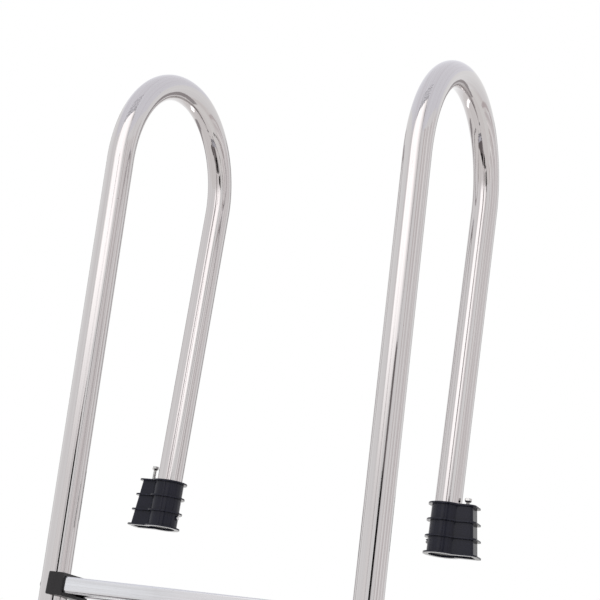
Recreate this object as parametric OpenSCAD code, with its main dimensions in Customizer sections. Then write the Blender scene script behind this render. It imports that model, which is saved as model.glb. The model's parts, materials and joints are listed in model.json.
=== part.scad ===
// Pool ladder: two crook handrails, three treads and two clamping deck anchors.
// Millimetres. +Z is up, +X is right seen from the pool, +Y points from the pool to the deck.
// The origin lies on the deck plane, midway between the tube bores of the two anchors.

/* [Handrails] */
// Outside diameter of the rail tube
tube_d = 43; // [38:0.5:52]
// Wall of the rail tube
tube_wall = 1.5; // [1:0.1:3]
// Distance between the two rails, axis to axis
rail_spacing = 500; // [400:10:650]
// Height of the handrail's top above the deck
handrail_h = 670; // [540:10:850]
// Bend radius of the crook on the deck side
crook_deck_r = 155; // [125:1:190]
// Bend radius of the crook on the pool side
crook_pool_r = 187; // [150:1:230]
// Lean of the pool leg towards the pool wall: sideways run for each unit of its length
pool_lean = 0.07584; // [0:0.00001:0.1]
// Depth of the deck leg's end below the deck
deck_leg_depth = 74; // [60:1:78]

/* [Feet] */
// Height of the lowest step bolt above the bottom of the ladder
foot_drop = 189; // [160:1:260]
// Bend radius of the lower end of the pool leg
foot_bend_r = 90; // [70:1:100]
// Straight end of the tube after the lower bend
foot_stub = 34; // [28:1:60]
// Wall of the rubber bumper round the tube
bumper_wall = 4.5; // [3:0.5:8]
// Length of tube inside the bumper
bumper_grip = 26; // [18:1:28]
// Rubber beyond the end of the tube
bumper_end = 10; // [6:1:20]
// Radius of the bumper's rim
bumper_rim_r = 4; // [2:0.5:4.5]

/* [Treads] */
// Depth of the first step bolt below the deck
first_step_drop = 221; // [180:1:300]
// Distance between one tread and the next
step_pitch = 250; // [200:5:300]
// Tread, front to back
tread_d = 68; // [56:1:90]
// Height of the tread's front
tread_h = 24; // [21:0.5:30]
// Sheet thickness of the tread
tread_t = 1.2; // [0.8:0.1:1.5]
// Outer radius of the rolled lower edge
tread_curl_r = 5; // [4:0.5:6]
// Outer radius of the upper bend
tread_edge_r = 3; // [2:0.5:4]
// Base diameter of an anti-slip stud
stud_d = 9; // [7:0.5:10]
// Height of an anti-slip stud
stud_h = 1; // [0.5:0.1:1.5]
// Distance between studs along a row
stud_pitch = 26; // [20:1:35]
// Distance between the rows of studs
stud_row_pitch = 17; // [13:1:18]

/* [Brackets] */
// Distance of the bracket's outer face from the rail's axis
bracket_inset = 8; // [4:0.5:12]
// Top and bottom walls of the bracket
bracket_wall = 4.5; // [3:0.5:6]
// Front and back walls of the bracket
bracket_side = 4; // [3:0.5:6]
// Plastic between the rail and the tread's end
bracket_web = 4.3; // [3:0.1:8]
// Depth of the socket that holds the tread's end
socket_depth = 10; // [6:0.5:16]
// Radius of the bracket's outer corners
bracket_corner_r = 5; // [2:0.5:6]

/* [Step bolts] */
// Thread diameter of the step bolts
step_bolt_d = 8; // [6:1:8]
// Diameter of the low round head
step_head_d = 14; // [12:0.5:16]
// Height of the low round head
step_head_h = 3.6; // [2.5:0.1:5]
// Length of thread past the nut
step_bolt_spare = 3; // [1:0.5:6]

/* [Anchors] */
// Height of the anchor
anchor_h = 80; // [78:1:110]
// Wall of the anchor
anchor_wall = 3.2; // [2.5:0.1:4]
// Running gap between the rail and the anchor's bore
bore_clear = 0.35; // [0.3:0.05:0.6]
// Room between the rail and the pocket's end wall, at the top
pocket_room = 19.5; // [18:0.5:26]
// Outward flare of the end wall over the anchor's height
pocket_flare = 10; // [6:0.5:14]
// Outside width of the wedge pocket
pocket_w = 30; // [27:1:36]
// Radius of the pocket's upright corners
pocket_corner_r = 4; // [3.5:0.5:6]
// Thickness of the flanges
flange_t = 2.5; // [2:0.1:3.5]
// Overhang of the flanges
flange_out = 5.5; // [3:0.5:8]
// Number of flanges
flange_count = 4; // [3:1:5]
// Thickness of the plate over the pocket
cover_t = 3.5; // [3:0.5:5]
// Depth of the bonding screw below the flange over it
bond_drop = 6; // [5.5:0.5:8]

/* [Clamps] */
// Height of the wedge
wedge_h = 50; // [40:1:54]
// Height of the wedge's underside above the anchor's underside
wedge_lift = 4; // [2:0.5:8]
// Gap between the loose wedge and the rail
wedge_gap = 1.3; // [1.2:0.1:1.6]
// Height of the nut slot above the wedge's underside
nut_slot_lift = 30; // [22:1:32]
// Distance of the clamp bolt's axis from the rail's surface
clamp_bolt_offset = 10.5; // [10:0.1:12]
// Length of the clamp bolt under its head
clamp_bolt_l = 80; // [70:1:85]
// Height of the left washer above the deck
left_bolt_rise = 19; // [2:0.5:20]
// Height of the right washer above the deck
right_bolt_rise = 6; // [2:0.5:20]

/* [Hidden] */
$fn = 96;

// Clearances: pushed together, seated side by side, sliding, and on a thread
push_clear = 0.1;
seat_clear = 0.2;
slide_clear = 0.3;
thread_clear = 0.05;
// Overrun of a cut past the face that it leaves
cut = 1;

// Metric hexagon sizes of the M6 clamp bolt, and its tapered washer
m6_d = 6;
m6_flats = 10;
m6_head_h = 4;
m6_nut_h = 5.2;
m6_washer_d = 11.5;
m6_washer_foot_d = 8.5;
m6_washer_t = 2.2;
hole_clear = 0.2;

// Rail path, in the plane of one rail
pool_slope = asin(pool_lean);
tube_r = tube_d / 2;
bore_r = tube_r - tube_wall;
deck_arc_z = handrail_h - tube_r - crook_deck_r;
pool_arc_z = handrail_h - tube_r - crook_pool_r;
pool_leg_y = -crook_deck_r - crook_pool_r * cos(pool_slope);
pool_leg_z = pool_arc_z - crook_pool_r * sin(pool_slope);
bumper_r = tube_r + bumper_wall;
bottom_z = -first_step_drop - 2 * step_pitch - foot_drop;
stub_z = bottom_z + bumper_r;
leg_end_z = stub_z + foot_bend_r * (1 - sin(pool_slope));
leg_length = (pool_leg_z - leg_end_z) / cos(pool_slope);
foot_end_y = leg_y(leg_end_z) + foot_bend_r * cos(pool_slope) + foot_stub;

// Treads and brackets
bracket_d = tread_d + 2 * (seat_clear + bracket_side);
bracket_h = tread_h + 2 * (seat_clear + bracket_wall);
socket_x = tube_r + seat_clear + bracket_web;
bracket_w = socket_x + socket_depth - bracket_inset;
tread_l = rail_spacing - 2 * (socket_x + seat_clear);
curl_z = tread_curl_r - tread_h / 2;
step_bolt_hole_r = step_bolt_d / 2 + hole_clear;
step_nut_flats = 1.625 * step_bolt_d;
step_nut_h = 0.8 * step_bolt_d;
step_washer_r = step_bolt_d;
step_washer_t = 0.2 * step_bolt_d;
step_bolt_l = tube_r + socket_x + step_washer_t + step_nut_h + step_bolt_spare;

// Tube plugs
plug_head_t = 3;
plug_stem_l = 18;

// Anchors, with the pocket towards +X from the tube's axis
lobe_r = tube_r + bore_clear + anchor_wall;
pocket_x = tube_r + pocket_room + anchor_wall;
flare_angle = atan(pocket_flare / anchor_h);
flange_pitch = (anchor_h - flange_t) / (flange_count - 1);
clamp_x = tube_r + clamp_bolt_offset;
slot_run = 1.6;
bond_z = -(flange_count - 2) * flange_pitch - flange_t - bond_drop;
boss_r = 4.5;
boss_out = 1.2;
bond_r = 2.5;
bond_head_r = 3.5;
bond_head_h = 2;
bond_slot_w = 1;

// Depth of a step's bolts below the deck, from the top step down
function step_z(step) = -first_step_drop - (step - 1) * step_pitch;

// Place of the pool leg's axis at a height
function leg_y(z) = pool_leg_y + (pool_leg_z - z) * tan(pool_slope);

// Rectangle from x = 0 whose corners at x = 0 are round
module half_round_rect(w, h, r) {
    translate([r, -h / 2]) square([w - r, h]);
    translate([0, r - h / 2]) square([2 * r, h - 2 * r]);
    for (side = [-1, 1]) translate([r, side * (h / 2 - r)]) circle(r);
}

// Round bar along +Z, with its children at its far end
module straight(bar_r, length) {
    cylinder(r = bar_r, h = length);
    translate([0, 0, length]) children();
}

// Round bar that starts along +Z and turns towards -Y, with its children at its far end
module bend(bar_r, path_r, turn) {
    reach = 2 * (path_r + bar_r + cut);
    translate([0, -path_r, 0]) {
        difference() {
            rotate([90, 0, 90]) rotate_extrude(angle = 180) translate([path_r, 0]) circle(bar_r);
            rotate([turn, 0, 0]) translate([-reach / 2, -reach / 2, 0]) cube(reach);
        }
        rotate([turn, 0, 0]) translate([0, path_r, 0]) children();
    }
}

// Solid bar along the whole rail, with both ends longer by extra
module rail_bar(bar_r, extra) {
    translate([0, 0, -deck_leg_depth - extra])
        straight(bar_r, deck_arc_z + deck_leg_depth + extra)
            bend(bar_r, crook_deck_r, 90)
                bend(bar_r, crook_pool_r, 90 + pool_slope)
                    straight(bar_r, leg_length)
                        bend(bar_r, foot_bend_r, 90 - pool_slope)
                            straight(bar_r, foot_stub + extra);
}

// Rail tube, drilled across for the step bolts
module rail() {
    color("silver") difference() {
        rail_bar(tube_r, 0);
        rail_bar(bore_r, cut);
        for (step = [1:3]) translate([0, leg_y(step_z(step)), step_z(step)]) rotate([0, 90, 0])
            cylinder(r = step_bolt_hole_r, h = tube_d + 2 * cut, center = true);
    }
}

// Cross-section of a tread: folded sheet with rolled lower edges
module tread_profile() {
    difference() {
        rotate(-90) half_round_flat(tread_h / 2, -curl_z, tread_d, tread_edge_r);
        rotate(-90) half_round_flat(
            tread_h / 2 - tread_t, cut - curl_z, tread_d - 2 * tread_t, tread_edge_r - tread_t
        );
    }
    for (side = [-1, 1]) translate([side * (tread_d / 2 - tread_curl_r), curl_z]) {
        difference() {
            circle(tread_curl_r);
            circle(tread_curl_r - tread_t);
            translate([-2 * tread_curl_r, 0]) square(4 * tread_curl_r);
        }
        translate([side < 0 ? tread_curl_r - tread_t : -tread_curl_r, 0]) square([tread_t, 2 * tread_t]);
    }
}

// Rectangle w wide from x = -top to x = below, with round corners at x = -top
module half_round_flat(top, below, w, r) {
    translate([-top, 0]) half_round_rect(top + below, w, r);
}

// Tread, centred on its bolts' axis, with staggered rows of studs
module tread() {
    stud_room = tread_l - 2 * (socket_depth + stud_d);
    color("gainsboro") {
        rotate([90, 0, 90]) linear_extrude(height = tread_l, center = true) tread_profile();
        for (row = [-1:1]) {
            count = floor((stud_room - abs(row) * stud_pitch) / (2 * stud_pitch)) * 2 + 1 - abs(row);
            for (i = [0:count - 1])
                translate([(i - (count - 1) / 2) * stud_pitch, row * stud_row_pitch, tread_h / 2 - tread_t / 2])
                    cylinder(d1 = stud_d, d2 = stud_d - 2 * stud_h, h = stud_h + tread_t / 2);
        }
    }
}

// Bracket with its saddle on the rail and its socket towards +X, centred on the bolt
module bracket() {
    color("#202022") difference() {
        translate([bracket_inset, 0, 0]) intersection() {
            rotate([90, 0, 0]) linear_extrude(height = bracket_d, center = true)
                half_round_rect(bracket_w, bracket_h, bracket_corner_r);
            linear_extrude(height = bracket_h, center = true)
                half_round_rect(bracket_w, bracket_d, bracket_corner_r);
        }
        rotate([pool_slope, 0, 0]) cylinder(r = tube_r + seat_clear, h = 2 * bracket_h, center = true);
        translate([socket_x, -bracket_d / 2 + bracket_side, -bracket_h / 2 + bracket_wall])
            cube([socket_depth + cut, bracket_d - 2 * bracket_side, bracket_h - 2 * bracket_wall]);
        rotate([0, 90, 0]) cylinder(r = step_bolt_hole_r, h = 2 * socket_x);
    }
}

// Places a step's fittings: +X points from the rail to the tread
module at_step(step, side) {
    translate([side * rail_spacing / 2, leg_y(step_z(step)), step_z(step)])
        mirror([side > 0 ? 1 : 0, 0, 0]) children();
}

// Places what is on every step's two ends
module at_all_steps() {
    for (step = [1:3]) for (side = [-1, 1]) at_step(step, side) children();
}

// Hexagonal prism with its flats across Y
module hexagon(flats, h) {
    cylinder(d = flats / cos(30), h = h, $fn = 6);
}

// Low round head with its underside on the rail, and a shank through rail and bracket
module step_bolt() {
    dome_r = (pow(step_head_d / 2, 2) + pow(step_head_h, 2)) / (2 * step_head_h);
    color("silver") translate([-tube_r, 0, 0]) rotate([0, 90, 0]) {
        cylinder(d = step_bolt_d, h = step_bolt_l);
        intersection() {
            translate([0, 0, dome_r - step_head_h]) sphere(dome_r);
            translate([0, 0, -step_head_h]) cylinder(d = step_head_d, h = step_head_h);
        }
    }
}

module step_washer() {
    color("silver") translate([socket_x, 0, 0]) rotate([0, 90, 0]) difference() {
        cylinder(r = step_washer_r, h = step_washer_t);
        translate([0, 0, -cut]) cylinder(r = step_bolt_hole_r, h = step_washer_t + 2 * cut);
    }
}

module step_nut() {
    color("silver") translate([socket_x + step_washer_t, 0, 0]) rotate([0, 90, 0]) difference() {
        hexagon(step_nut_flats, step_nut_h);
        translate([0, 0, -cut]) cylinder(r = step_bolt_d / 2 + thread_clear, h = step_nut_h + 2 * cut);
    }
}

// Rubber cup over the lower end of the rail
module bumper() {
    length = bumper_grip + bumper_end;
    color("#1b1b1c") translate([0, foot_end_y - bumper_grip, stub_z]) rotate([-90, 0, 0]) difference() {
        rotate_extrude() {
            square([bumper_r, length - bumper_rim_r]);
            square([bumper_r - bumper_rim_r, length]);
            translate([bumper_r - bumper_rim_r, length - bumper_rim_r]) intersection() {
                circle(bumper_rim_r);
                square(bumper_rim_r);
            }
        }
        translate([0, 0, -cut]) cylinder(r = tube_r + push_clear, h = bumper_grip + cut);
    }
}

// Plug in the lower end of the deck leg
module tube_plug() {
    color("#1b1b1c") translate([0, 0, -deck_leg_depth]) {
        translate([0, 0, -plug_head_t]) cylinder(r = tube_r, h = plug_head_t);
        cylinder(r = bore_r - push_clear, h = plug_stem_l);
    }
}

// Block round the wedge pocket: its end wall leans with the flare, moved out by grow
module pocket_block(grow, corner_r, top_z, bottom_z) {
    width = pocket_w + 2 * grow;
    reach = pocket_x + pocket_flare + grow;
    intersection() {
        translate([0, -width, bottom_z]) cube([2 * reach, 2 * width, top_z - bottom_z]);
        translate([pocket_x, 0, 0]) rotate([0, -flare_angle, 0]) translate([grow, 0, 0])
            mirror([1, 0, 0]) linear_extrude(height = 3 * anchor_h, center = true)
                half_round_rect(2 * reach, width, corner_r);
    }
}

// Anchor with its pocket towards +X and its top face on the deck plane
module anchor() {
    wall_corner_r = pocket_corner_r - anchor_wall + slide_clear;
    color("#1e1e20") difference() {
        union() {
            translate([0, 0, -anchor_h]) cylinder(r = lobe_r, h = anchor_h);
            pocket_block(0, pocket_corner_r, 0, -anchor_h);
            for (i = [0:flange_count - 1]) {
                top = -i * flange_pitch;
                translate([0, 0, top - flange_t]) cylinder(r = lobe_r + flange_out, h = flange_t);
                pocket_block(flange_out, pocket_corner_r + flange_out, top, top - flange_t);
            }
            translate([0, 0, bond_z]) rotate([0, -90, 0]) cylinder(r = boss_r, h = lobe_r + boss_out);
        }
        translate([0, 0, -anchor_h - cut]) cylinder(r = tube_r + bore_clear, h = anchor_h + 2 * cut);
        pocket_block(-anchor_wall, wall_corner_r, -cover_t, -anchor_h - cut);
        clamp_slot();
        translate([0, 0, bond_z]) rotate([0, -90, 0])
            cylinder(r = bond_r + thread_clear, h = lobe_r + boss_out + cut);
    }
}

// Slot in the cover that lets the clamp bolt follow the wedge inwards
module clamp_slot() {
    slot_r = m6_d / 2 + hole_clear + slide_clear;
    translate([clamp_x - slot_run, 0, -cover_t - cut]) {
        cylinder(r = slot_r, h = cover_t + 2 * cut);
        translate([slot_run, 0, 0]) cylinder(r = slot_r, h = cover_t + 2 * cut);
        translate([0, -slot_r, 0]) cube([slot_run, 2 * slot_r, cover_t + 2 * cut]);
    }
}

// Screw that bonds the rail to the deck's earth wire, on the side away from the pocket
module bonding_screw() {
    head_x = lobe_r + boss_out;
    color("silver") translate([0, 0, bond_z]) rotate([0, -90, 0]) difference() {
        union() {
            translate([0, 0, tube_r + bore_clear]) cylinder(r = bond_r, h = head_x - tube_r - bore_clear);
            translate([0, 0, head_x]) cylinder(r = bond_head_r, h = bond_head_h);
        }
        translate([-bond_slot_w / 2, -bond_head_r - cut, head_x + bond_head_h / 2])
            cube([bond_slot_w, 2 * (bond_head_r + cut), bond_head_h]);
    }
}

// Wedge between the rail and the pocket's end wall
module wedge() {
    base = wedge_lift - anchor_h;
    top = base + wedge_h;
    slot_z = base + nut_slot_lift;
    color("#2b2b2e") difference() {
        pocket_block(-anchor_wall - slide_clear, pocket_corner_r - anchor_wall, top, base);
        translate([0, 0, base - cut]) cylinder(r = tube_r + wedge_gap, h = wedge_h + 2 * cut);
        translate([clamp_x, 0, base - cut]) cylinder(r = m6_d / 2 + hole_clear, h = wedge_h + 2 * cut);
        translate([clamp_x, 0, slot_z]) hexagon(m6_flats + 2 * seat_clear, m6_nut_h + seat_clear);
        translate([clamp_x, -m6_flats / 2 - seat_clear, slot_z])
            cube([pocket_x, m6_flats + 2 * seat_clear, m6_nut_h + seat_clear]);
    }
}

module wedge_nut() {
    color("silver") translate([clamp_x, 0, wedge_lift - anchor_h + nut_slot_lift]) difference() {
        hexagon(m6_flats, m6_nut_h);
        translate([0, 0, -cut]) cylinder(r = m6_d / 2 + thread_clear, h = m6_nut_h + 2 * cut);
    }
}

module clamp_washer(rise) {
    color("silver") translate([clamp_x, 0, rise]) difference() {
        cylinder(d1 = m6_washer_foot_d, d2 = m6_washer_d, h = m6_washer_t);
        translate([0, 0, -cut]) cylinder(r = m6_d / 2 + hole_clear, h = m6_washer_t + 2 * cut);
    }
}

// Hexagon bolt with a chamfered head that stands on its washer
module clamp_bolt(rise) {
    color("silver") translate([clamp_x, 0, rise + m6_washer_t]) {
        translate([0, 0, -clamp_bolt_l]) cylinder(d = m6_d, h = clamp_bolt_l);
        intersection() {
            hexagon(m6_flats, m6_head_h);
            cylinder(d1 = m6_flats + 2 * m6_head_h, d2 = m6_flats, h = m6_head_h);
        }
    }
}

// Places one side's rail or anchor: the anchors' pockets point away from each other
module on_side(side) {
    translate([side * rail_spacing / 2, 0, 0]) mirror([side < 0 ? 1 : 0, 0, 0]) children();
}

on_side(-1) rail();  // rail_left
on_side(1) rail();  // rail_right
translate([0, leg_y(step_z(1)), step_z(1)]) tread();  // tread_1
translate([0, leg_y(step_z(2)), step_z(2)]) tread();  // tread_2
translate([0, leg_y(step_z(3)), step_z(3)]) tread();  // tread_3
at_step(1, -1) bracket();  // bracket_left_1
at_step(2, -1) bracket();  // bracket_left_2
at_step(3, -1) bracket();  // bracket_left_3
at_step(1, 1) bracket();  // bracket_right_1
at_step(2, 1) bracket();  // bracket_right_2
at_step(3, 1) bracket();  // bracket_right_3
at_all_steps() step_bolt();  // step_bolts
at_all_steps() step_washer();  // step_washers
at_all_steps() step_nut();  // step_nuts
on_side(-1) bumper();  // bumper_left
on_side(1) bumper();  // bumper_right
on_side(-1) tube_plug();  // tube_plug_left
on_side(1) tube_plug();  // tube_plug_right
on_side(-1) anchor();  // anchor_left
on_side(1) anchor();  // anchor_right
on_side(-1) bonding_screw();  // bonding_screw_left
on_side(1) bonding_screw();  // bonding_screw_right
on_side(-1) wedge();  // wedge_left
on_side(1) wedge();  // wedge_right
on_side(-1) wedge_nut();  // wedge_nut_left
on_side(1) wedge_nut();  // wedge_nut_right
on_side(-1) clamp_washer(left_bolt_rise);  // clamp_washer_left
on_side(1) clamp_washer(right_bolt_rise);  // clamp_washer_right
on_side(-1) clamp_bolt(left_bolt_rise);  // clamp_bolt_left
on_side(1) clamp_bolt(right_bolt_rise);  // clamp_bolt_right
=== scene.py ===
"""Looks of the pool ladder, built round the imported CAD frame. Units are metres in the row frame:
+Z up, +X right seen from the pool, +Y from the pool to the deck, origin on the deck plane."""
import json
import math

import bmesh
import bpy
from mathutils import Matrix, Vector


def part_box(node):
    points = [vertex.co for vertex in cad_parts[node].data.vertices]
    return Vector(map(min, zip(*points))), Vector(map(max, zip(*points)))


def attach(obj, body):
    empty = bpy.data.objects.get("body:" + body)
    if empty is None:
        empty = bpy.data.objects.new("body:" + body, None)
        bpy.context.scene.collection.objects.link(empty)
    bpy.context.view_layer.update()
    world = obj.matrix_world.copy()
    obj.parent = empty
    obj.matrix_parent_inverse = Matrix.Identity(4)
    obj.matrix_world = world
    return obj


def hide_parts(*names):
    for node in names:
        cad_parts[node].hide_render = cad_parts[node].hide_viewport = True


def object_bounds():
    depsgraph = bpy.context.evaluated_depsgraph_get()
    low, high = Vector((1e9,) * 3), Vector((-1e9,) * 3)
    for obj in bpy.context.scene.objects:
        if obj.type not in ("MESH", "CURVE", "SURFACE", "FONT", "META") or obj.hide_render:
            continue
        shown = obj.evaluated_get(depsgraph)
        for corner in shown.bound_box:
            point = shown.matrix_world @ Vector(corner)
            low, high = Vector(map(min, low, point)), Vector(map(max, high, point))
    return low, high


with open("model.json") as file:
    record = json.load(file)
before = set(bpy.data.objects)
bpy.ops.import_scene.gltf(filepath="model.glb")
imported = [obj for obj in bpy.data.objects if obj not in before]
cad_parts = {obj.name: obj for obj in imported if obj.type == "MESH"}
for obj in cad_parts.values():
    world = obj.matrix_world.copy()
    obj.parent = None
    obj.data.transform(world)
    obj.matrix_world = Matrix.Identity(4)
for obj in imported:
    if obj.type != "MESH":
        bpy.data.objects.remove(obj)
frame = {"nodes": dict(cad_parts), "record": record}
cad_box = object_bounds()
scene = bpy.context.scene

# ---------------------------------------------------------------- node helpers


def add(tree, kind, inputs=None, **settings):
    """A new node, with its settings and the values of its unlinked inputs."""
    node = tree.nodes.new(kind)
    for key, value in settings.items():
        setattr(node, key, value)
    for key, value in (inputs or {}).items():
        node.inputs[key].default_value = value
    return node


def any_of(tree, first, *others):
    """A socket that is 1 where any of the sockets given is 1."""
    for other in others:
        larger = add(tree, "ShaderNodeMath", operation="MAXIMUM")
        tree.links.new(first, larger.inputs[0])
        tree.links.new(other, larger.inputs[1])
        first = larger.outputs[0]
    return first


def either(tree, fac, a, b):
    """The shader a where fac is 0, and b where it is 1."""
    node = add(tree, "ShaderNodeMixShader")
    for source, socket in zip((fac, a, b), node.inputs):
        tree.links.new(source, socket)
    return node.outputs[0]


class Shade:
    """A Principled material with a few shorthands for building its node tree. Its base colour and
    roughness hold where no node is linked to them."""

    def __init__(self, name, base, rough, metallic=0.0, spec=None):
        self.mat = bpy.data.materials.new(name)
        self.mat.use_nodes = True
        self.tree = self.mat.node_tree
        self.bsdf = self.tree.nodes["Principled BSDF"]
        self.bsdf.inputs["Base Color"].default_value = (*base, 1)
        self.bsdf.inputs["Roughness"].default_value = rough
        self.bsdf.inputs["Metallic"].default_value = metallic
        if spec is not None:
            self.bsdf.inputs["Specular IOR Level"].default_value = spec

    def link(self, a, b):
        self.tree.links.new(a, b)

    def place(self, stretch=(1, 1, 1), attribute=None):
        """Where a texture is read: object space, or a named vector of the mesh, stretched."""
        if attribute:
            source = add(self.tree, "ShaderNodeAttribute", attribute_name=attribute).outputs["Vector"]
        else:
            source = add(self.tree, "ShaderNodeTexCoord").outputs["Object"]
        mapping = add(self.tree, "ShaderNodeMapping", {"Scale": stretch})
        self.link(source, mapping.inputs["Vector"])
        return mapping.outputs["Vector"]

    def noise(self, where, scale, detail, rough, warp=0.0):
        node = add(self.tree, "ShaderNodeTexNoise",
                   {"Scale": scale, "Detail": detail, "Roughness": rough, "Distortion": warp})
        self.link(where, node.inputs["Vector"])
        return node.outputs["Fac"]

    def cells(self, where, scale):
        """How far each point is from the nearest of the points strewn about."""
        node = add(self.tree, "ShaderNodeTexVoronoi", {"Scale": scale}, feature="F1")
        self.link(where, node.inputs["Vector"])
        return node.outputs["Distance"]

    def spread(self, fac, low, high, start, end):
        """Goes from low to high as fac goes from start to end."""
        node = add(self.tree, "ShaderNodeMapRange",
                   {"From Min": start, "From Max": end, "To Min": low, "To Max": high})
        self.link(fac, node.inputs["Value"])
        return node.outputs["Result"]

    def mix(self, fac, a, b):
        """The colour a where fac is 0, and b where it is 1: each a colour or a socket."""
        node = add(self.tree, "ShaderNodeMix", data_type="RGBA")
        for value, socket in ((fac, node.inputs[0]), (a, node.inputs[6]), (b, node.inputs[7])):
            if isinstance(value, tuple):
                socket.default_value = (*value, 1)
            else:
                self.link(value, socket)
        return node.outputs[2]

    def bump(self, height, strength, distance, after=None):
        node = add(self.tree, "ShaderNodeBump", {"Strength": strength, "Distance": distance})
        self.link(height, node.inputs["Height"])
        if after is not None:
            self.link(after, node.inputs["Normal"])
        return node.outputs["Normal"]

    def out(self, **sockets):
        """The finished material, with each socket linked to the shader's input of that name."""
        for name, value in sockets.items():
            self.link(value, self.bsdf.inputs[name.replace("_", " ").title()])
        return self.mat


# ---------------------------------------------------------------- materials


def polished_steel(name):
    """Mirror-polished stainless tube: drawn lines along it, a few pits, faint handling haze."""
    pale, middling = (0.620, 0.603, 0.604), (0.572, 0.548, 0.552)
    line_grey, fine_grey, pit_black = (0.515, 0.476, 0.480), (0.480, 0.446, 0.452), (0.08, 0.07, 0.065)
    s = Shade(name, (0.60, 0.578, 0.580), 0.07, metallic=1.0)
    lines = s.noise(s.place((3.2, 3.2, 0.5), "tube_co"), 1.0, 3.0, 0.6)
    drawn = s.noise(s.place((9.0, 9.0, 0.7), "tube_co"), 1.0, 2.0, 0.6)
    fine = s.noise(s.place((26, 26, 1.4), "tube_co"), 1.0, 2.0, 0.6)
    haze = s.noise(s.place(), 9.0, 3.0, 0.6)
    pits = s.cells(s.place(), 26.0)
    tint = s.mix(s.spread(lines, 0.0, 1.0, 0.35, 0.68), pale, middling)
    tint = s.mix(s.spread(drawn, 0.0, 0.65, 0.5, 0.72), tint, line_grey)
    tint = s.mix(s.spread(fine, 0.0, 0.45, 0.48, 0.75), tint, fine_grey)
    tint = s.mix(s.spread(pits, 0.75, 0.0, 0.010, 0.022), tint, pit_black)
    rough = s.spread(haze, 0.045, 0.10, 0.35, 0.75)
    n = s.bump(lines, 0.12, 0.0014)
    n = s.bump(drawn, 0.10, 0.0005, n)
    n = s.bump(fine, 0.06, 0.0002, n)
    return s.out(base_color=tint, roughness=rough, normal=n)


def tread_steel(name):
    """Bright pressed sheet: fine rolling lines along the tread, slightly softer than the tube."""
    pale, rolled = (0.725, 0.735, 0.765), (0.645, 0.645, 0.670)
    fine_grey, warm_grey = (0.56, 0.545, 0.56), (0.66, 0.62, 0.61)
    s = Shade(name, (0.70, 0.71, 0.74), 0.16, metallic=1.0)
    roll = s.noise(s.place((2.0, 160, 160)), 1.0, 3.0, 0.65)
    fine = s.noise(s.place((5.0, 700, 700)), 1.0, 2.0, 0.6)
    soft = s.noise(s.place((6, 14, 14)), 1.0, 2.0, 0.5)
    haze = s.noise(s.place(), 22.0, 3.0, 0.6)
    tint = s.mix(s.spread(roll, 0.0, 1.0, 0.35, 0.7), pale, rolled)
    tint = s.mix(s.spread(fine, 0.0, 0.4, 0.45, 0.75), tint, fine_grey)
    tint = s.mix(s.spread(soft, 0.0, 0.35, 0.45, 0.8), tint, warm_grey)
    rough = s.spread(haze, 0.09, 0.2, 0.3, 0.75)
    n = s.bump(roll, 0.06, 0.0004)
    n = s.bump(fine, 0.05, 0.0001, n)
    n = s.bump(soft, 0.10, 0.003, n)
    return s.out(base_color=tint, roughness=rough, normal=n)


def fastener_steel(name):
    """Turned stainless hardware: fine rings round its axis, uneven wear."""
    pale, ringed = (0.66, 0.655, 0.65), (0.46, 0.455, 0.45)
    s = Shade(name, (0.58, 0.575, 0.57), 0.2, metallic=1.0)
    turned = s.noise(s.place((40, 40, 900)), 1.0, 2.0, 0.6)
    wear = s.noise(s.place(), 160.0, 3.0, 0.6)
    tint = s.mix(s.spread(turned, 0.0, 1.0, 0.35, 0.7), pale, ringed)
    rough = s.spread(wear, 0.12, 0.32, 0.3, 0.75)
    return s.out(base_color=tint, roughness=rough, normal=s.bump(turned, 0.12, 0.0002))


def plastic(name, dark, light, rough_low, rough_high, grain_scale, grain, spec=0.5):
    """Moulded black plastic: fine tool grain, slow flow marks and pale scuffs."""
    flow, scuff_gain = 30.0, 2.2
    s = Shade(name, dark, rough_high, spec=spec)
    slow = s.noise(s.place((1, 1, 0.45)), flow, 3.0, 0.55)
    tool = s.noise(s.place(), grain_scale, 3.0, 0.7)
    scuff = s.noise(s.place((1, 1, 7)), 260.0, 2.0, 0.6, 0.6)
    tint = s.mix(s.spread(slow, 0.0, 1.0, 0.35, 0.8), dark, light)
    tint = s.mix(s.spread(scuff, 0.0, 0.5, 0.66, 0.8), tint, tuple(scuff_gain * c for c in light))
    rough = s.spread(slow, rough_low, rough_high, 0.3, 0.75)
    n = s.bump(tool, grain, 0.0002)
    n = s.bump(slow, 0.08, 0.0008, n)
    return s.out(base_color=tint, roughness=rough, normal=n)


def rubber(name):
    """Black rubber: fine grain under a little pale dust."""
    clean, dusty = (0.016, 0.016, 0.017), (0.045, 0.044, 0.043)
    s = Shade(name, (0.018, 0.018, 0.019), 0.7, spec=0.35)
    grain = s.noise(s.place(), 1400.0, 3.0, 0.7)
    dust = s.noise(s.place(), 45.0, 4.0, 0.65)
    tint = s.mix(s.spread(dust, 0.0, 1.0, 0.45, 0.85), clean, dusty)
    rough = s.spread(dust, 0.55, 0.8, 0.3, 0.75)
    return s.out(base_color=tint, roughness=rough, normal=s.bump(grain, 0.35, 0.0003))


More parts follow.
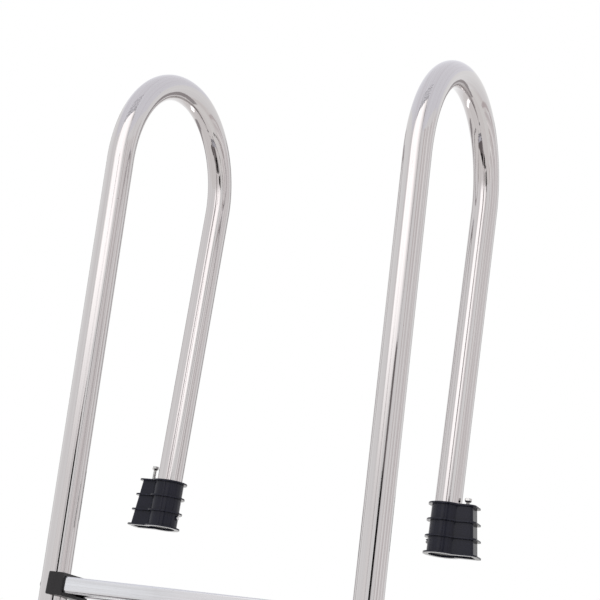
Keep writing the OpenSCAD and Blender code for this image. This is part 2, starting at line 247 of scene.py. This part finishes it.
MATS = {
    "polished_steel": polished_steel("polished steel"),
    "tread_steel": tread_steel("tread steel"),
    "bracket_plastic": plastic("bracket plastic", (0.015, 0.0135, 0.015), (0.021, 0.019, 0.021),
                               0.3, 0.44, 2400, 0.25, spec=0.28),
    "fastener_steel": fastener_steel("fastener steel"),
    "bumper_rubber": rubber("bumper rubber"),
    "plug_plastic": plastic("plug plastic", (0.02, 0.02, 0.02), (0.032, 0.032, 0.032),
                            0.4, 0.55, 2400, 0.3),
    "anchor_plastic": plastic("anchor plastic", (0.0104, 0.0108, 0.0202), (0.0142, 0.0146, 0.0264),
                              0.13, 0.24, 1800, 0.1, spec=0.22),
    "wedge_plastic": plastic("wedge plastic", (0.03, 0.03, 0.032), (0.045, 0.045, 0.047),
                             0.4, 0.55, 2400, 0.3),
}
for part in frame["record"]["subparts"]:
    for slot in frame["nodes"][part["node"]].material_slots:
        slot.material = MATS[part["material_slot"]]

# ---------------------------------------------------------------- the two rails

TUBE_R, TUBE_WALL = 0.0215, 0.0015
DECK_R, POOL_R, FOOT_R = 0.155, 0.187, 0.090
DECK_END = -0.074
LEAN = math.asin(0.07584)
FOOT_STUB = 0.034
ROUND = 96


def rail_path(box):
    """Centre line of a rail in its own plane: (y, z, heading, distance run), from the deck end to
    the foot."""
    low, high = box
    top = high.z - TUBE_R
    leg_top = top - POOL_R * (1 + math.sin(LEAN))
    leg_end = low.z + TUBE_R + FOOT_R * (1 - math.sin(LEAN))
    path = [(0.0, DECK_END, math.pi / 2, 0.0)]

    def line(length, steps):
        y, z, h, run = path[-1]
        for i in range(1, steps + 1):
            d = length * i / steps
            path.append((y + d * math.cos(h), z + d * math.sin(h), h, run + d))

    def curve(radius, turn, steps):
        y, z, h, run = path[-1]
        cy, cz = y - radius * math.sin(h), z + radius * math.cos(h)
        for i in range(1, steps + 1):
            a = h + turn * i / steps
            path.append((cy + radius * math.sin(a), cz - radius * math.cos(a), a,
                         run + radius * turn * i / steps))

    line(top - DECK_R - DECK_END, 12)
    curve(DECK_R, math.pi / 2, 60)
    curve(POOL_R, math.pi / 2 + LEAN, 70)
    line((leg_top - leg_end) / math.cos(LEAN), 26)
    curve(FOOT_R, math.pi / 2 - LEAN, 40)
    line(FOOT_STUB, 2)
    return path


def tube(name, x, path):
    """A hollow tube swept along path in the plane X = x, with exact normals and a vector of
    (cos, sin, distance run) that the polish lines follow."""
    verts, normals, marks, faces, end_normals = [], [], [], [], []
    for radius, outward in ((TUBE_R, 1), (TUBE_R - TUBE_WALL, -1)):
        for y, z, h, run in path:
            for k in range(ROUND):
                t = 2 * math.pi * k / ROUND
                side = Vector((math.sin(t), -math.cos(t) * math.sin(h), math.cos(t) * math.cos(h)))
                verts.append(Vector((x, y, z)) + side * radius)
                normals.append(side * outward)
                marks.append((math.cos(t), math.sin(t), run))
    rings = len(path)
    inner = rings * ROUND
    for i in range(rings - 1):
        for k in range(ROUND):
            a, b = i * ROUND + k, i * ROUND + (k + 1) % ROUND
            c, d = b + ROUND, a + ROUND
            faces.append((a, b, c, d))
            faces.append((inner + d, inner + c, inner + b, inner + a))
    side_faces = len(faces)
    for i, sign in ((0, -1), (rings - 1, 1)):
        h = path[i][2]
        for k in range(ROUND):
            a, b = i * ROUND + k, i * ROUND + (k + 1) % ROUND
            faces.append((a, inner + a, inner + b, b) if sign < 0 else (a, b, inner + b, inner + a))
            end_normals.append(Vector((0, math.cos(h), math.sin(h))) * sign)
    mesh = bpy.data.meshes.new(name)
    mesh.from_pydata(verts, [], faces)
    mesh.update()
    mesh.polygons.foreach_set("use_smooth", [True] * len(faces))
    loop_normals = []
    for p in mesh.polygons:
        for v in p.vertices:
            on_side = p.index < side_faces
            loop_normals.append(normals[v] if on_side else end_normals[p.index - side_faces])
    mesh.normals_split_custom_set(loop_normals)
    co = mesh.attributes.new("tube_co", "FLOAT_VECTOR", "POINT")
    co.data.foreach_set("vector", [c for m in marks for c in m])
    mesh.materials.append(MATS["polished_steel"])
    obj = bpy.data.objects.new(name, mesh)
    scene.collection.objects.link(obj)
    return obj


for side in ("left", "right"):
    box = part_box("rail_" + side)
    piece = tube("rail_tube_" + side, (box[0].x + box[1].x) / 2, rail_path(box))
    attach(piece, "ladder")
    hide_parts("rail_" + side)

# ---------------------------------------------------------------- the two clamp bolts

BOLT_R, ROOT_R, PITCH, BOLT_L = 0.003, 0.00239, 0.001, 0.080
# where the thread's flank starts and ends, as shares of the pitch from the middle of its crest
FLANK_FOOT, FLANK_TOP = 0.375, 0.0625
# the cone at the tip, how far inside the thread's root it starts, and the plain neck under the head
TIP, TIP_IN, NECK = 0.0012, 0.0002, 0.001
HEAD_H, HEAD_IN_R = 0.004, 0.005
HEAD_ROWS = (0, 0.4, 0.8, 0.85, 0.9, 0.95, 1)
THREAD_ROUND, HEAD_ROUND, ROWS_A_TURN = 24, 72, 8


def thread_radius(turn, z):
    """Radius of a right-hand thread at a turn (0 to 1) and a height from the head's underside."""
    if z > -NECK:
        return BOLT_R
    off_crest = abs((z / PITCH - turn) % 1 - 0.5)
    crest = min(max((FLANK_FOOT - off_crest) / (FLANK_FOOT - FLANK_TOP), 0), 1)
    tip = ROOT_R - TIP_IN + (z + BOLT_L) * (BOLT_R - ROOT_R + TIP_IN) / TIP
    return min(ROOT_R + crest * (BOLT_R - ROOT_R), tip)


def head_radius(turn, z):
    """Radius of a hexagon whose upper corners are turned off by a cone."""
    off_flat = (turn * 6) % 1 * math.pi / 3 - math.pi / 6
    return min(HEAD_IN_R / math.cos(off_flat), HEAD_IN_R + HEAD_H - z)


def lathe(verts, faces, heights, count, radius_at):
    """Adds a closed shell of rings at the heights given, its radius read at each turn and height."""
    first = len(verts)
    for z in heights:
        for k in range(count):
            r, a = radius_at(k / count, z), 2 * math.pi * k / count
            verts.append((r * math.cos(a), r * math.sin(a), z))
    for i in range(len(heights) - 1):
        for k in range(count):
            a, b = first + i * count + k, first + i * count + (k + 1) % count
            faces.append((a, b, b + count, a + count))
    last = first + (len(heights) - 1) * count
    faces.append(tuple(first + count - 1 - k for k in range(count)))
    faces.append(tuple(last + k for k in range(count)))


for side in ("left", "right"):
    low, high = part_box("clamp_bolt_" + side)
    verts, faces = [], []
    rows = round(BOLT_L / PITCH * ROWS_A_TURN)
    # the shank's last ring is inside the head
    shank = [-BOLT_L + BOLT_L * i / rows for i in range(rows + 1)] + [HEAD_H / 4]
    lathe(verts, faces, shank, THREAD_ROUND, thread_radius)
    lathe(verts, faces, [HEAD_H * h for h in HEAD_ROWS], HEAD_ROUND, head_radius)
    mesh = bpy.data.meshes.new("clamp_screw_" + side)
    under_head = Vector(((low.x + high.x) / 2, (low.y + high.y) / 2, high.z - HEAD_H))
    mesh.from_pydata([under_head + Vector(v) for v in verts], [], faces)
    mesh.polygons.foreach_set("use_smooth", [True] * len(faces))
    mesh.set_sharp_from_angle(angle=math.radians(30))
    mesh.materials.append(MATS["fastener_steel"])
    screw = bpy.data.objects.new("clamp_screw_" + side, mesh)
    scene.collection.objects.link(screw)
    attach(screw, "bolt_" + side)
    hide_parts("clamp_bolt_" + side)

# ---------------------------------------------------------------- world and floor

WHITE = (1, 1, 1, 1)
FLOOR_Z = cad_box[0].z
FLOOR_SIZE = 16

scene.view_settings.view_transform = "Standard"

# white to the camera and to reflections, softer as a light
world = bpy.data.worlds.new("studio")
scene.world = world
world.use_nodes = True
sky = world.node_tree
sky.nodes.clear()
rays = add(sky, "ShaderNodeLightPath").outputs
seen = any_of(sky, rays["Is Camera Ray"], rays["Is Glossy Ray"], rays["Is Transmission Ray"])
soft = add(sky, "ShaderNodeBackground", {"Color": WHITE, "Strength": 0.72})
white = add(sky, "ShaderNodeBackground", {"Color": WHITE, "Strength": 1.0})
sky.links.new(either(sky, seen, soft.outputs[0], white.outputs[0]),
              add(sky, "ShaderNodeOutputWorld").inputs["Surface"])


def sheet(name, centre, across, up, width, height, mat):
    """A flat staged sheet with its middle at centre, as wide as width along across and as high as
    height along up."""
    a, u = Vector(across).normalized() * width / 2, Vector(up).normalized() * height / 2
    c = Vector(centre)
    mesh = bpy.data.meshes.new(name)
    mesh.from_pydata([c - a - u, c + a - u, c + a + u, c - a + u], [], [(0, 1, 2, 3)])
    mesh.materials.append(mat)
    obj = bpy.data.objects.new(name, mesh)
    scene.collection.objects.link(obj)
    return obj


# the floor takes shadows, and reflections show it nearly as pale as the world
floor = Shade("floor", (0.86, 0.86, 0.86), 0.9, spec=0.0)
grain = floor.noise(floor.place(), 3.0, 4.0, 0.6)
floor.out(base_color=floor.mix(grain, (0.85, 0.85, 0.85), (0.87, 0.87, 0.87)))
pale = add(floor.tree, "ShaderNodeEmission", {"Color": (1.0, 0.985, 0.97, 1), "Strength": 0.96})
rays = add(floor.tree, "ShaderNodeLightPath").outputs
mirrored = any_of(floor.tree, rays["Is Glossy Ray"], rays["Is Transmission Ray"])
floor.link(either(floor.tree, mirrored, floor.bsdf.outputs[0], pale.outputs[0]),
           floor.tree.nodes["Material Output"].inputs["Surface"])
sheet("floor", (0, 0, FLOOR_Z), (1, 0, 0), (0, 1, 0), FLOOR_SIZE, FLOOR_SIZE, floor.mat)

# ---------------------------------------------------------------- cards

# the ladder's middle, which the cards face
MIDDLE_Y = -0.17
RING_R, RING_Z, RING_H = 2.6, 0.55, 2.7
# the directions across and along the runners, which slant away from the ladder
RUNNER_ACROSS, RUNNER_ALONG = (0.892, 0.453, 0), (0.453, -0.892, 0)
OVERHEAD_Z = 6.5


def tone(name, colour, strength=1.0):
    """An even glow for a card."""
    mat = bpy.data.materials.new(name)
    mat.use_nodes = True
    tree = mat.node_tree
    tree.nodes.clear()
    glow = add(tree, "ShaderNodeEmission", {"Color": (*colour, 1), "Strength": strength})
    tree.links.new(glow.outputs[0], add(tree, "ShaderNodeOutputMaterial").inputs["Surface"])
    return mat


def unlit(obj):
    """Keeps a card out of everything but reflections."""
    obj.visible_camera = obj.visible_diffuse = obj.visible_shadow = False


def card(name, centre, width, height, mat, across=None):
    """An upright card that shows in reflections only. It faces the ladder, or lies along across."""
    c = Vector(centre)
    away = Vector((c.x, c.y - MIDDLE_Y, 0)).normalized()
    unlit(sheet(name, c, across or (-away.y, away.x, 0), (0, 0, 1), width, height, mat))


def runner(name, x, y, lift, width, length, mat):
    """A card flat on the floor that shows in reflections only."""
    unlit(sheet(name, (x, y, FLOOR_Z + lift), RUNNER_ACROSS, RUNNER_ALONG, width, length, mat))


black = tone("black card", (0.012, 0.010, 0.010))
dark = tone("dark card", (0.20, 0.18, 0.18))
slate = tone("slate card", (0.42, 0.395, 0.40))
rose = tone("rose card", (0.73, 0.67, 0.67))
grey = tone("grey card", (0.84, 0.80, 0.80))
bright = tone("bright card", (1.0, 0.975, 0.965), 1.15)
glare = tone("glare card", (1.0, 0.985, 0.98), 2.5)
blue = tone("pale blue card", (0.95, 0.957, 1.015))

# in front: a figure and two dark runners, which the bends and the legs show as dark streaks, and
# the key's stand
card("figure", (1.18, -2.6, -0.41), 0.7, 1.0, black)
card("figure top", (1.18, -2.6, 0.29), 0.62, 0.4, dark)
for x in (-0.165, 0.335):
    runner(f"runner {x}", x, -1.36, 0.004, 0.46, 2.0, dark)
    runner(f"runner end {x}", x + 0.16, -1.67, 0.006, 0.40, 1.3, black)
card("key stand", (0.10, -1.40, -0.05), 0.032, 1.7, slate)

# to the right: pale panels, and behind: the two dark flags that outline the tubes. Each
# has an azimuth, from the pool side towards +X, and a width, both in degrees
for azimuth, wide, mat in (
    (58, 5, rose), (65, 3, bright), (72, 5, grey), (80, 4, rose), (88, 4, bright), (97, 6, grey),
    (106, 4, rose), (114, 4, bright), (123, 6, grey), (133, 5, rose),
    (172, 15, slate), (-122, 13, slate),
):
    a = math.radians(azimuth)
    centre = (RING_R * math.sin(a), MIDDLE_Y - RING_R * math.cos(a), RING_Z)
    card(f"panel {azimuth}", centre, RING_R * math.radians(wide), RING_H, mat)

# overhead, and a low bright strip for the undersides
unlit(sheet("overhead", (0, 0, OVERHEAD_Z), (1, 0, 0), (0, 1, 0), FLOOR_SIZE, FLOOR_SIZE, blue))
card("low glare", (-0.88, 1.9, -0.69), 1.2, 0.42, glare, across=(1, 0, 0))

# ---------------------------------------------------------------- lamps


def lamp(name, at, target, width, height, power):
    """A soft lamp that lights the ladder, but shows neither to the camera nor in reflections."""
    data = bpy.data.lights.new(name, "AREA")
    data.shape = "RECTANGLE"
    data.size, data.size_y = width, height
    data.energy = power
    obj = bpy.data.objects.new(name, data)
    scene.collection.objects.link(obj)
    obj.location = at
    obj.rotation_euler = (Vector(target) - Vector(at)).to_track_quat("-Z", "Y").to_euler()
    obj.visible_camera = obj.visible_glossy = False


KEY_AT, KEY_TO = Vector((-0.208, -1.735, 1.0)), Vector((-0.998, -0.435, 1.0))
KEY_W, KEY_H = 2.2, 2.6
FACING = (KEY_TO - KEY_AT).normalized()
ALONG = Vector((FACING.y, -FACING.x, 0))
lamp("key", KEY_AT, KEY_TO, KEY_W, KEY_H, 17)
lamp("top", (0.1, 0.3, 2.6), (0, 0, 0), 2.0, 2.0, 11)
lamp("back fill", (-1.6, 1.9, 1.0), (0, 0, 0.1), 1.2, 1.8, 6)

# ---------------------------------------------------------------- what mirrors show of the key

# as pale as the room at its sides and its foot, and brighter in the middle
ROOM_LEVEL, KEY_LEVEL = 1.0, 1.8
# where the fade starts and ends on the left, on the right and at the foot, from the key's middle
FADE_LEFT, FADE_RIGHT, FADE_FOOT = (-1.1, -0.4), (1.1, 0.7), (-1.1, -0.4)
# the corner that is cut away: from here on the lower edge, to this height on the right edge
CUT_FROM, CUT_UP = 0.25, 0.8

face_mat = tone("key face", (1.0, 0.985, 0.98))
tree = face_mat.node_tree
offset = add(tree, "ShaderNodeVectorMath", {1: KEY_AT}, operation="SUBTRACT")
tree.links.new(add(tree, "ShaderNodeNewGeometry").outputs["Position"], offset.inputs[0])
sideways = add(tree, "ShaderNodeVectorMath", {1: ALONG}, operation="DOT_PRODUCT")
tree.links.new(offset.outputs[0], sideways.inputs[0])
apart = add(tree, "ShaderNodeSeparateXYZ")
tree.links.new(offset.outputs[0], apart.inputs[0])
share = None
for source, (start, end) in (
    (sideways.outputs["Value"], FADE_LEFT), (sideways.outputs["Value"], FADE_RIGHT),
    (apart.outputs["Z"], FADE_FOOT),
):
    fade = add(tree, "ShaderNodeMapRange", {"From Min": start, "From Max": end},
               interpolation_type="SMOOTHSTEP")
    tree.links.new(source, fade.inputs["Value"])
    if share is None:
        share = fade.outputs["Result"]
    else:
        product = add(tree, "ShaderNodeMath", operation="MULTIPLY")
        tree.links.new(share, product.inputs[0])
        tree.links.new(fade.outputs["Result"], product.inputs[1])
        share = product.outputs[0]
level = add(tree, "ShaderNodeMapRange", {"To Min": ROOM_LEVEL, "To Max": KEY_LEVEL})
tree.links.new(share, level.inputs["Value"])
tree.links.new(level.outputs["Result"], tree.nodes["Emission"].inputs["Strength"])
face = sheet("key face", KEY_AT, ALONG, (0, 0, 1), KEY_W, KEY_H, face_mat)
unlit(face)

# the lower right corner is cut away, so that the figure shows under it
slant = (ALONG * (KEY_W / 2 - CUT_FROM) + Vector((0, 0, CUT_UP))).normalized()
cut = bmesh.new()
cut.from_mesh(face.data)
bmesh.ops.bisect_plane(
    cut, geom=cut.verts[:] + cut.edges[:] + cut.faces[:],
    plane_co=KEY_AT + ALONG * CUT_FROM - Vector((0, 0, KEY_H / 2)),
    plane_no=slant.cross(FACING), clear_inner=True)
cut.to_mesh(face.data)
cut.free()

# its frame, and the booms over it: distance from its middle along it, height, size and tone
for name, shift, z, width, height, mat in (
    ("frame left", -1.13, 1.0, 0.03, 2.8, slate), ("frame right", 1.13, 1.0, 0.05, 2.8, slate),
    ("boom", 0, 2.42, 2.2, 0.055, black), ("boom 2", 0, 2.62, 2.2, 0.06, black),
    ("boom 3", 0, 2.95, 2.3, 0.08, black), ("boom 4", 0, 3.45, 2.4, 0.10, black),
    ("boom 5", 0, 4.2, 2.5, 0.16, black), ("boom 6", 0, 5.4, 2.6, 0.26, black),
):
    at = KEY_AT + ALONG * shift
    card(name, (at.x, at.y, z), width, height, mat, across=ALONG)

# ---------------------------------------------------------------- camera

CAMERA_AT = (0.95407, -2.15292, -0.38629)
# turned left, tilted up and rolled, in radians
AZ, EL, ROLL = 0.4375, 0.2777, 0.1558

cam_data = bpy.data.cameras.new("camera")
cam_data.sensor_width = 36
cam_data.lens = 86.493
cam_data.shift_y = 0.04
cam_data.clip_start, cam_data.clip_end = 0.05, 60
cam = bpy.data.objects.new("camera", cam_data)
scene.collection.objects.link(cam)
scene.camera = cam
ahead = Vector((-math.sin(AZ) * math.cos(EL), math.cos(AZ) * math.cos(EL), math.sin(EL)))
level_right = Vector((math.cos(AZ), math.sin(AZ), 0))
level_up = level_right.cross(ahead)
right = level_right * math.cos(ROLL) + level_up * math.sin(ROLL)
up = level_up * math.cos(ROLL) - level_right * math.sin(ROLL)
turned = Matrix((right, up, -ahead)).transposed().to_4x4()
cam.matrix_world = Matrix.Translation(CAMERA_AT) @ turned
